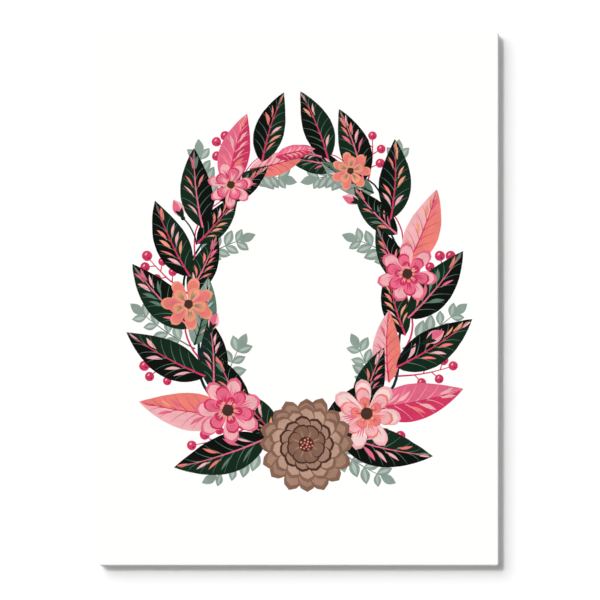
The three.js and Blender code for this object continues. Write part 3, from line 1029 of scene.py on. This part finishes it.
def weave(tree, place):
    """The height of a plain weave, from 0 to 1, over a place in metres, with 4 mm slubs."""
    waves = {"Vector": place, "Scale": WAVE_PERIOD * scale_for(THREAD)}
    first = add_node(tree, "TexWave", waves, bands_direction="X").outputs["Fac"]
    second = add_node(tree, "TexWave", waves, bands_direction="Y").outputs["Fac"]
    squares = add_node(tree, "TexChecker", {"Vector": place, "Scale": scale_for(THREAD)})
    slubs = add_node(tree, "TexNoise", {"Vector": place, "Scale": scale_for(3.85), "Detail": 2.0})
    share = squares.outputs["Fac"]
    over = add_node(tree, "Mix", {0: share, 2: first, 3: second}, data_type="FLOAT")
    under = add_node(tree, "Mix", {0: share, 2: second, 3: first}, data_type="FLOAT")
    dip = add_node(tree, "Math", {0: under, 1: 0.5, 2: 0.5}, operation="MULTIPLY_ADD")
    threads = add_node(tree, "Math", {0: over, 1: dip}, operation="MULTIPLY")
    return add_node(tree, "Mix", {0: 0.35, 2: threads, 3: slubs}, data_type="FLOAT")


# %% Printed cotton
# Pigment ink on matt primer hardly shines. Brush marks of 18 mm cloud the ink, and it is worn a
# little on the top of each thread.
printed_cotton, tree, shader = new_finish("primed_cotton_canvas_with_pigment_print")
place = add_node(tree, "UVMap", {}, uv_map="threads").outputs[0]
height = weave(tree, place)
ink = add_node(tree, "Attribute", {}, attribute_name="ink").outputs
marks = {"Vector": place, "Scale": scale_for(18.2), "Detail": 4.0, "Roughness": 0.6}
brush = add_node(tree, "TexNoise", marks)
brush_tone = add_node(tree, "MapRange", {"Value": brush, 1: 0.3, 2: 0.7, 3: 0.9, 4: 1.12})
worn_tone = add_node(tree, "MapRange", {"Value": height, 1: 0.1, 2: 0.9, 3: 0.9, 4: 1.08})
ink_tone = add_node(tree, "Math", {0: brush_tone, 1: worn_tone}, operation="MULTIPLY")
brushed = add_node(tree, "VectorMath", {0: ink["Color"], "Scale": ink_tone.outputs[0]}, operation="SCALE")
inked = add_node(tree, "Mix", {0: ink["Alpha"], 6: ink["Color"], 7: brushed}, data_type="RGBA").outputs[2]
# Painted shade and highlight: every colour, inked or bare ground, is darkened in the dips of the weave and
# lightened on the tops of the threads.
weave_painted_shade = add_node(tree, "MapRange", {"Value": height, 1: 0.1, 2: 0.8, 3: 0.955, 4: 1.025})
colour_with_painted_weave_shade = add_node(tree, "VectorMath", {0: inked, "Scale": weave_painted_shade.outputs[0]}, operation="SCALE")
matt = add_node(tree, "MapRange", {"Value": height, 1: 0.0, 2: 1.0, 3: 0.85, 4: 0.72})
relief = add_node(tree, "Bump", {"Height": height, "Strength": 0.45, "Distance": 0.2 * MM})
surface = {"Base Color": colour_with_painted_weave_shade, "Roughness": matt, "Specular IOR Level": 0.05, "Normal": relief}
fill_inputs(tree, shader, surface)
print(printed_cotton.name, len(tree.nodes), "nodes")

# %% Raw cotton on the inside
# It is unbleached, so it is warm, clouded every 7 cm or so, and holds bits of seed husk with frayed
# outlines. Its threads are spun unevenly, so single ones run a little darker, both ways. The dips of
# the weave are painted darker, as painted shade.
HUSK_FRAY = 4.5
THREAD_STRETCH = 0.03
raw_cotton, tree, shader = new_finish("raw_cotton_canvas_back")
place = add_node(tree, "UVMap", {}, uv_map="threads").outputs[0]
height = weave(tree, place)
cloud = add_node(tree, "TexNoise", {"Vector": place, "Scale": scale_for(71.4), "Detail": 3.0})
frayed = add_node(tree, "TexNoise", {"Vector": place, "Scale": scale_for(2.38), "Detail": 2.0})
frayed_place = {0: frayed.outputs["Color"], 1: (HUSK_FRAY * MM,) * 3, 2: place}
husk_place = add_node(tree, "VectorMath", frayed_place, operation="MULTIPLY_ADD")
husk = add_node(tree, "TexVoronoi", {"Vector": husk_place, "Scale": scale_for(14.29)})
husk_share = add_node(tree, "MapRange", {"Value": husk, 1: 0.05, 2: 0.09, 3: 0.5, 4: 0.0})
shades = {0: cloud, 6: linear("eee6d6"), 7: linear("f7f1e6")}
cotton = add_node(tree, "Mix", shades, data_type="RGBA").outputs[2]
# Painted shade: the colour darkens towards a greyer beige in the dips of the weave.
cotton = add_node(tree, "Mix", {0: height, 6: linear("dbcfb9"), 7: cotton}, data_type="RGBA").outputs[2]
for stretch in ((1, THREAD_STRETCH, 1), (THREAD_STRETCH, 1, 1)):
    run = add_node(tree, "Mapping", {"Vector": place, "Scale": stretch})
    uneven = add_node(tree, "TexNoise", {"Vector": run, "Scale": scale_for(THREAD), "Detail": 1.0})
    thick = add_node(tree, "MapRange", {"Value": uneven, 1: 0.45, 2: 0.75, 3: 0.0, 4: 0.4})
    cotton = add_node(tree, "Mix", {0: thick, 6: cotton, 7: linear("cbbc9f")}, data_type="RGBA").outputs[2]
cotton = add_node(tree, "Mix", {0: husk_share, 6: cotton, 7: linear("a08d68")}, data_type="RGBA").outputs[2]
relief = add_node(tree, "Bump", {"Height": height, "Strength": 0.6, "Distance": 0.3 * MM})
fill_inputs(tree, shader, {"Base Color": cotton, "Roughness": 0.95, "Normal": relief})

mesh.materials.append(printed_cotton)
mesh.materials.append(raw_cotton)
mesh.polygons.foreach_set("material_index", [int(number >= outer_faces) for number in range(len(faces))])
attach(canvas, "root")
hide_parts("canvas")
print("cloth finished in", [m.name for m in mesh.materials])

# %% [markdown]
# ## Loose threads
#
# A cloth that is cut and not hemmed lets go of a few threads. Here and there one comes out of the
# cut edge, drops onto the wood and curls. Each is a short curve with a round section, and all of
# them are turned into one mesh. The real ones are about 0.2 mm thick, and these a little more.

# %% Loose cotton
# Cotton yarn is dull, and its twist shows as paler and darker bands.
loose_cotton, tree, shader = new_finish("loose_cotton_thread")
here = add_node(tree, "TexCoord", {}).outputs["Object"]
twist = add_node(tree, "TexNoise", {"Vector": here, "Scale": scale_for(0.667), "Detail": 2.0})
shades = {0: twist, 6: linear("d6cab2"), 7: linear("f8f3e8")}
tone = add_node(tree, "Mix", shades, data_type="RGBA").outputs[2]
fill_inputs(tree, shader, {"Base Color": tone, "Roughness": 0.95})
print(loose_cotton.name, len(tree.nodes), "nodes")

# %% Lay the loose threads along the cut edge
FRAY_COUNT = 56
FRAY_RADIUS = 0.14
FRAY_LENGTHS = (2.2, 5.0)
FRAY_CURL = 0.7
FRAY_HIDDEN = 1.4
FRAY_STEP_OUT = 0.5
CORNER_GAP = 6
HANGER_CLEARANCE = 32
BUMPER_CLEARANCE = 8
fray = random.Random(11)
lying = (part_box("bar_top")[1].y - middle.y) / MM + FRAY_RADIUS
low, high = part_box("bumper_right")
bumper_spot = ((low.x + high.x) / 2 - middle.x) / MM
curve = bpy.data.curves.new("loose_threads", "CURVE")
curve.dimensions = "3D"
curve.bevel_depth = FRAY_RADIUS * MM
curve.bevel_resolution = 1
curve.resolution_u = 4
curve.use_fill_caps = True
for _ in range(FRAY_COUNT):
    k = fray.randrange(4)
    out, along = ways(k)
    run = fray.uniform(-1, 1) * (half_sizes[k][1] - CORNER_REACH - CORNER_GAP)
    length = fray.uniform(*FRAY_LENGTHS)
    curl = along * length * fray.uniform(-FRAY_CURL, FRAY_CURL)
    on_hanger = k == 1 and abs(run) < HANGER_CLEARANCE
    on_bumper = k == 3 and abs(abs(run) - bumper_spot) < BUMPER_CLEARANCE
    if on_hanger or on_bumper:
        continue
    root = out * (half_sizes[k][0] - TURNOVER) + along * run
    path = (
        (root + out * FRAY_HIDDEN, DEPTH - CLOTH / 2),
        (root - out * FRAY_STEP_OUT, DEPTH - CLOTH / 2),
        (root - out * length * 0.4, lying),
        (root - out * length * 0.8 + curl * 0.3, lying),
        (root - out * length + curl, lying),
    )
    spline = curve.splines.new("NURBS")
    spline.points.add(len(path) - 1)
    for point, (spot, depth) in zip(spline.points, path):
        point.co = (*placed(spot.real, depth, spot.imag), 1)
    spline.use_endpoint_u = True
    spline.order_u = 4
print(len(curve.splines), "loose threads")

# %% Turn the threads into one mesh, as part of the sheet
threads = new_object("loose_threads", curve)
select_only(threads)
bpy.ops.object.convert(target="MESH")
threads.data.materials.append(loose_cotton)
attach(threads, "root")
print(len(threads.data.polygons), "faces of loose thread")

# %% [markdown]
# ## Timber
#
# The bars are clear planed pine: pale earlywood with narrow darker latewood lines along the grain,
# and a dull finish. Rings round an axis beside the bar give the lines, as the tree grew them, and
# two noises make them sway. The keys are beech, closer and pinker. Fibres streak both: real ones
# are finer than a hair, so they are drawn as streaks of about 1 mm.

# %% A finish for timber
# How far beside and behind a bar the heart of its tree lay.
PITH = {"X": (0, 55 * MM, 90 * MM), "Z": (70 * MM, 55 * MM, 0)}
# The size of each noise, and how far it moves the rings.
SWAYS = ((71.4, 14), (14.29, 6))
FIBRE = 1.111
HEART_CLOUD = 200
ALONG_GRAIN = 0.12


def timber(name, pale, dark, heart, along, ring_gap):
    """A finish for wood whose grain runs along X or Z, with so many millimetres from ring to ring."""
    material, tree, shader = new_finish(name)
    here = add_node(tree, "TexCoord", {}).outputs["Object"]
    stretch = (ALONG_GRAIN, 1, 1) if along == "X" else (1, 1, ALONG_GRAIN)
    swayed = add_node(tree, "Mapping", {"Vector": here, "Location": PITH[along]})
    grain_place = add_node(tree, "Mapping", {"Vector": here, "Scale": stretch})
    for size, reach in SWAYS:
        sway = add_node(tree, "TexNoise", {"Vector": grain_place, "Scale": scale_for(size), "Detail": 2.0})
        moved = {0: sway.outputs["Color"], 1: (reach * MM,) * 3, 2: swayed}
        swayed = add_node(tree, "VectorMath", moved, operation="MULTIPLY_ADD")
    period = WAVE_PERIOD * scale_for(ring_gap)
    growth_rings = {"Vector": swayed, "Scale": period, "Distortion": 0.6, "Detail Scale": 2.0}
    looks = {"wave_type": "RINGS", "rings_direction": along, "wave_profile": "SAW"}
    growth = add_node(tree, "TexWave", growth_rings, **looks).outputs["Fac"]
    fibre = add_node(tree, "TexNoise", {"Vector": grain_place, "Scale": scale_for(FIBRE), "Detail": 2.0})
    late = add_node(tree, "MapRange", {"Value": growth, 1: 0.5, 2: 0.98, 3: 0.0, 4: 0.75})
    streak = add_node(tree, "MapRange", {"Value": fibre, 1: 0.4, 2: 0.7, 3: 0.0, 4: 0.25})
    cloud = add_node(tree, "TexNoise", {"Vector": here, "Scale": scale_for(HEART_CLOUD)})
    cloud_share = add_node(tree, "MapRange", {"Value": cloud, 1: 0.35, 2: 0.7, 3: 0.0, 4: 0.35})
    grain = linear(pale)
    for share, colour in ((late, dark), (streak, dark), (cloud_share, heart)):
        grain = add_node(tree, "Mix", {0: share, 6: grain, 7: linear(colour)}, data_type="RGBA").outputs[2]
    dull = add_node(tree, "MapRange", {"Value": fibre, 1: 0.0, 2: 1.0, 3: 0.75, 4: 0.55})
    furrow = add_node(tree, "Mix", {0: 0.4, 2: fibre, 3: growth}, data_type="FLOAT")
    relief = add_node(tree, "Bump", {"Height": furrow, "Strength": 0.25, "Distance": 0.2 * MM})
    fill_inputs(tree, shader, {"Base Color": grain, "Roughness": dull, "Normal": relief})
    return material


# %% Pine and beech
PINE = ("f1dfbf", "d6ab74", "e4c79c")
BEECH = ("e3c19d", "c79d78", "d8b08a")
PINE_RING = 3.6
BEECH_RING = 1.6
pine = {
    "X": timber("planed_pine_rail", *PINE, "X", PINE_RING),
    "Z": timber("planed_pine_stile", *PINE, "Z", PINE_RING),
}
beech = {
    "X": timber("sawn_beech_key_level", *BEECH, "X", BEECH_RING),
    "Z": timber("sawn_beech_key_upright", *BEECH, "Z", BEECH_RING),
}
print("timber", [m.name for m in (*pine.values(), *beech.values())])

# %% [markdown]
# ## Wire, plate and felt
#
# Staples are galvanised wire, the hanger is pressed from zinc-plated strip, and the bumpers are
# punched from wool felt. Zinc is a bright grey metal with soft clouds in its shine, and felt is a
# tangle of fibres that gives no shine at all. Its fibres and the scratches in the zinc are too
# fine to show, so they are drawn about half a millimetre wide.

# %% Metal and felt
SCRATCH = 0.4
WOOL = 0.5556


def zinc(name, colour, dark, roughness, cloud_size):
    """A zinc-coated steel, with clouds of so many millimetres."""
    material, tree, shader = new_finish(name)
    here = add_node(tree, "TexCoord", {}).outputs["Object"]
    cloud = add_node(tree, "TexNoise", {"Vector": here, "Scale": scale_for(cloud_size), "Detail": 3.0})
    tone = add_node(tree, "Mix", {0: cloud, 6: linear(colour), 7: linear(dark)}, data_type="RGBA").outputs[2]
    shiny, dull = roughness - 0.08, roughness + 0.12
    shine = add_node(tree, "MapRange", {"Value": cloud, 1: 0.3, 2: 0.7, 3: shiny, 4: dull})
    scratches = add_node(tree, "TexNoise", {"Vector": here, "Scale": scale_for(SCRATCH), "Detail": 2.0})
    relief = add_node(tree, "Bump", {"Height": scratches, "Strength": 0.15, "Distance": 0.05 * MM})
    fill_inputs(tree, shader, {"Base Color": tone, "Metallic": 1.0, "Roughness": shine, "Normal": relief})
    return material


staple_wire = zinc("galvanised_steel_wire", "c3c6ca", "a3a7ac", 0.32, 4)
zinc_plate = zinc("zinc_plated_steel_strip", "cfd2d4", "b7bcc4", 0.28, 6)

felt, tree, shader = new_finish("pressed_wool_felt")
here = add_node(tree, "TexCoord", {}).outputs["Object"]
tangle = {"Vector": here, "Scale": scale_for(WOOL), "Detail": 4.0, "Distortion": 1.5}
fibres = add_node(tree, "TexNoise", tangle)
shades = {0: fibres, 6: linear("4f4942"), 7: linear("8a8278")}
tone = add_node(tree, "Mix", shades, data_type="RGBA").outputs[2]
relief = add_node(tree, "Bump", {"Height": fibres, "Strength": 0.8, "Distance": 0.4 * MM})
fill_inputs(tree, shader, {"Base Color": tone, "Roughness": 1.0, "Sheen Weight": 0.3, "Normal": relief})
print("finishes", [m.name for m in (staple_wire, zinc_plate, felt)])

# %% [markdown]
# ## Bumpers
#
# A bumper is a disc punched from a sheet of felt, with a soft upper edge and a slightly furry side.
# A cylinder of the right size is the start. The rim on its wall side is bevelled, and the flat
# inside it is inset three times, and the side subdivided, to get points all over. They are then
# moved a little by noise, which roughens the felt as punching does. It is modelled once, and the
# second is a copy.


# %% Work on one piece at a time
def select_parts(thing, kind, wanted):
    """Selects the faces or points of a mesh in edit mode for which wanted(part) is true."""
    bpy.ops.mesh.select_all(action="DESELECT")
    bpy.ops.mesh.select_mode(type=kind)
    skin = bmesh.from_edit_mesh(thing.data)
    for part in skin.faces if kind == "FACE" else skin.verts:
        part.select = wanted(part)
    skin.select_flush_mode()
    bmesh.update_edit_mesh(thing.data)


def round_edges(thing, width):
    """Bevels the sharp edges of a piece by so many millimetres."""
    rounding = thing.modifiers.new("rounding", "BEVEL")
    rounding.width = width * MM
    rounding.segments = 2
    rounding.limit_method = "ANGLE"
    bpy.ops.object.modifier_apply(modifier="rounding")


def settle(thing, name, material, node):
    """Puts a finished piece's place into its mesh, and says what it stands for."""
    select_only(thing)
    bpy.ops.object.transform_apply(location=True, rotation=True, scale=True)
    thing.name = name
    thing.data.materials.clear()
    thing.data.materials.append(material)
    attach(thing, "root")
    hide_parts(node)


def settle_pair(thing, name, material, node):
    """Settles a piece as the left one of a pair, and a copy of it as the right one."""
    settle(thing, name + "_left", material, node + "_left")
    twin = new_object(name, thing.data.copy())
    twin.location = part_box(node + "_right")[0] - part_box(node + "_left")[0]
    settle(twin, name + "_right", material, node + "_right")
    print("two of", name, "with", len(thing.data.polygons), "faces each")


# %% Model the bumpers
FELT_FUR = 0.12
FELT_EDGE = 0.7
FELT_INSETS = (1.2, 1.2, 1.0)
FUR_WAVES = 2500
# noise_vector is seeded by the clock unless it is told otherwise, and would differ in each run.
FUR_SEED = 3
low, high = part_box("bumper_left")
bpy.ops.mesh.primitive_cylinder_add(
    vertices=48,
    radius=(high.x - low.x) / 2 - FELT_FUR * MM,
    depth=high.y - low.y,
    location=(low + high) / 2,
    rotation=(-math.pi / 2, 0, 0),
)
bumper = bpy.context.object
bpy.ops.object.mode_set(mode="EDIT")
select_parts(bumper, "FACE", lambda face: face.normal.z > 0.9)
bpy.ops.mesh.bevel(offset=FELT_EDGE * MM, segments=3)
select_parts(bumper, "FACE", lambda face: face.normal.z > 0.99 and len(face.verts) > 4)
for inset in FELT_INSETS:
    bpy.ops.mesh.inset(thickness=inset * MM)
bpy.ops.mesh.poke()
select_parts(bumper, "FACE", lambda face: abs(face.normal.z) < 0.5)
bpy.ops.mesh.subdivide(number_cuts=2)
bpy.ops.object.mode_set(mode="OBJECT")
noise.seed_set(FUR_SEED)
for vertex in bumper.data.vertices:
    fur = noise.noise_vector(vertex.co * FUR_WAVES) * FELT_FUR * MM
    vertex.co += Vector((fur.x, fur.y, -abs(fur.z) if vertex.co.z > 0 else 0))
bpy.ops.object.shade_smooth_by_angle(angle=math.radians(50))
settle_pair(bumper, "felt_bumper", felt, "bumper")

# %% [markdown]
# ## Hanger and its nails
#
# A sawtooth hanger is a strip of plated steel. Its middle is pressed up off the wood, and its lower
# edge is punched with notches that catch on a wall nail. It starts as a block of the strip's size,
# cut across by bisect where it bends and where each notch begins and ends. The middle is then moved
# out as the press does, and the point of each notch is moved up. A small bevel breaks its edges.

# %% Model the hanger
HANGER_PLATE = 0.9
HANGER_FOOT = 14
HANGER_TOP = 11
NOTCHES = (-8, -4, 0, 4, 8)
NOTCH_HALF = 1.6
NOTCH_HEIGHT = 2.2
PLATE_EDGE = 0.16
SLACK = 0.1 * MM
low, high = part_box("hanger")
length, height = high.x - low.x, high.z - low.z
rise = high.y - low.y - HANGER_PLATE * MM
place = Vector(((low.x + high.x) / 2, low.y + HANGER_PLATE * MM / 2, (low.z + high.z) / 2))
bpy.ops.mesh.primitive_cube_add(size=1, location=place)
hanger = bpy.context.object
hanger.scale = (length, HANGER_PLATE * MM, height)
bpy.ops.object.transform_apply(location=True, rotation=False, scale=True)
cuts = [-HANGER_FOOT, -HANGER_TOP, HANGER_TOP, HANGER_FOOT]
cuts += [x + shift for x in NOTCHES for shift in (-NOTCH_HALF, 0, NOTCH_HALF)]


def at_notch_point(vertex):
    """True for the points of the lower edge that lie in the middle of a notch."""
    in_notch = any(abs(vertex.co.x - x * MM) < SLACK for x in NOTCHES)
    return in_notch and vertex.co.z < low.z + SLACK


bpy.ops.object.mode_set(mode="EDIT")
for x in sorted(cuts):
    bpy.ops.mesh.select_all(action="SELECT")
    bpy.ops.mesh.bisect(plane_co=(x * MM, 0, 0), plane_no=(1, 0, 0))
select_parts(hanger, "VERT", lambda vertex: abs(vertex.co.x) < HANGER_TOP * MM + SLACK)
bpy.ops.transform.translate(value=(0, rise, 0))
select_parts(hanger, "VERT", at_notch_point)
bpy.ops.transform.translate(value=(0, 0, NOTCH_HEIGHT * MM))
bpy.ops.object.mode_set(mode="OBJECT")
round_edges(hanger, PLATE_EDGE)
bpy.ops.object.shade_smooth_by_angle(angle=math.radians(35))
settle(hanger, "sawtooth_hanger", zinc_plate, "hanger")
print("hanger", len(hanger.data.polygons), "faces")

# %% Model the hanger's nails
# Both are round wire nails. The low domed head is a bevelled disc, and the shank is drawn out of
# the head's underside by inset and extrude, and pinched to a point at its end.
NAIL_HEAD = 0.8 * MM
NAIL_DOME = 0.55 * MM
NAIL_SHOULDER = 1.3 * MM
NAIL_POINT = 1.5 * MM
POINT_WIDTH = 0.1
low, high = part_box("hanger_nail_left")
bpy.ops.mesh.primitive_cylinder_add(
    vertices=24,
    radius=(high.x - low.x) / 2,
    depth=NAIL_HEAD,
    location=((low.x + high.x) / 2, high.y - NAIL_HEAD / 2, (low.z + high.z) / 2),
    rotation=(-math.pi / 2, 0, 0),
)
nail = bpy.context.object
bpy.ops.object.mode_set(mode="EDIT")
select_parts(nail, "FACE", lambda face: face.normal.z > 0.9)
bpy.ops.mesh.bevel(offset=NAIL_DOME, segments=4)
select_parts(nail, "FACE", lambda face: face.normal.z < -0.9)
bpy.ops.mesh.inset(thickness=NAIL_SHOULDER)
for reach in (low.y + NAIL_POINT - high.y + NAIL_HEAD, -NAIL_POINT):
    bpy.ops.mesh.extrude_region_move(TRANSFORM_OT_translate={"value": (0, reach, 0)})
bpy.ops.transform.resize(value=(POINT_WIDTH, 1, POINT_WIDTH))
bpy.ops.object.mode_set(mode="OBJECT")
bpy.ops.object.shade_smooth_by_angle(angle=math.radians(50))
settle_pair(nail, "domed_nail", zinc_plate, "hanger_nail")

# %% [markdown]
# ## Keys and staples
#
# The keys and staples already have the right shape and place in the solid model, but their edges
# are knife sharp. A copy of each is merged into one skin and its edges are rounded by a bevel:
# sawn beech has a blunt edge, and wire is drawn round.

# %% Round the edges of keys and staples
KEY_EDGE = 0.35
WIRE_EDGE = 0.14
MERGE_GAP = 0.005 * MM


def rounded_copy(node, name, width, material):
    """A copy of a solid with rounded edges, which stands for it."""
    copy = new_object(name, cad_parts[node].data.copy())
    select_only(copy)
    bpy.ops.object.mode_set(mode="EDIT")
    bpy.ops.mesh.select_all(action="SELECT")
    bpy.ops.mesh.remove_doubles(threshold=MERGE_GAP)
    bpy.ops.mesh.dissolve_limited(angle_limit=math.radians(1))
    bpy.ops.object.mode_set(mode="OBJECT")
    round_edges(copy, width)
    bpy.ops.object.shade_smooth_by_angle(angle=math.radians(40))
    settle(copy, name, material, node)


keys = [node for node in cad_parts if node.startswith("key")]
for node in keys:
    upright = node.startswith(("key_top", "key_bottom"))
    rounded_copy(node, "beech_" + node, KEY_EDGE, beech["Z" if upright else "X"])
for node in staples:
    rounded_copy(node, "wire_" + node, WIRE_EDGE, staple_wire)
print(len(keys), "keys and", len(staples), "staples rounded")

# %% Give the bars their timber
for where in ("top", "bottom", "left", "right"):
    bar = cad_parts[f"bar_{where}"]
    bar.data.materials.clear()
    bar.data.materials.append(pine["X" if where in ("top", "bottom") else "Z"])
print("bars finished in", [m.name for m in pine.values()])
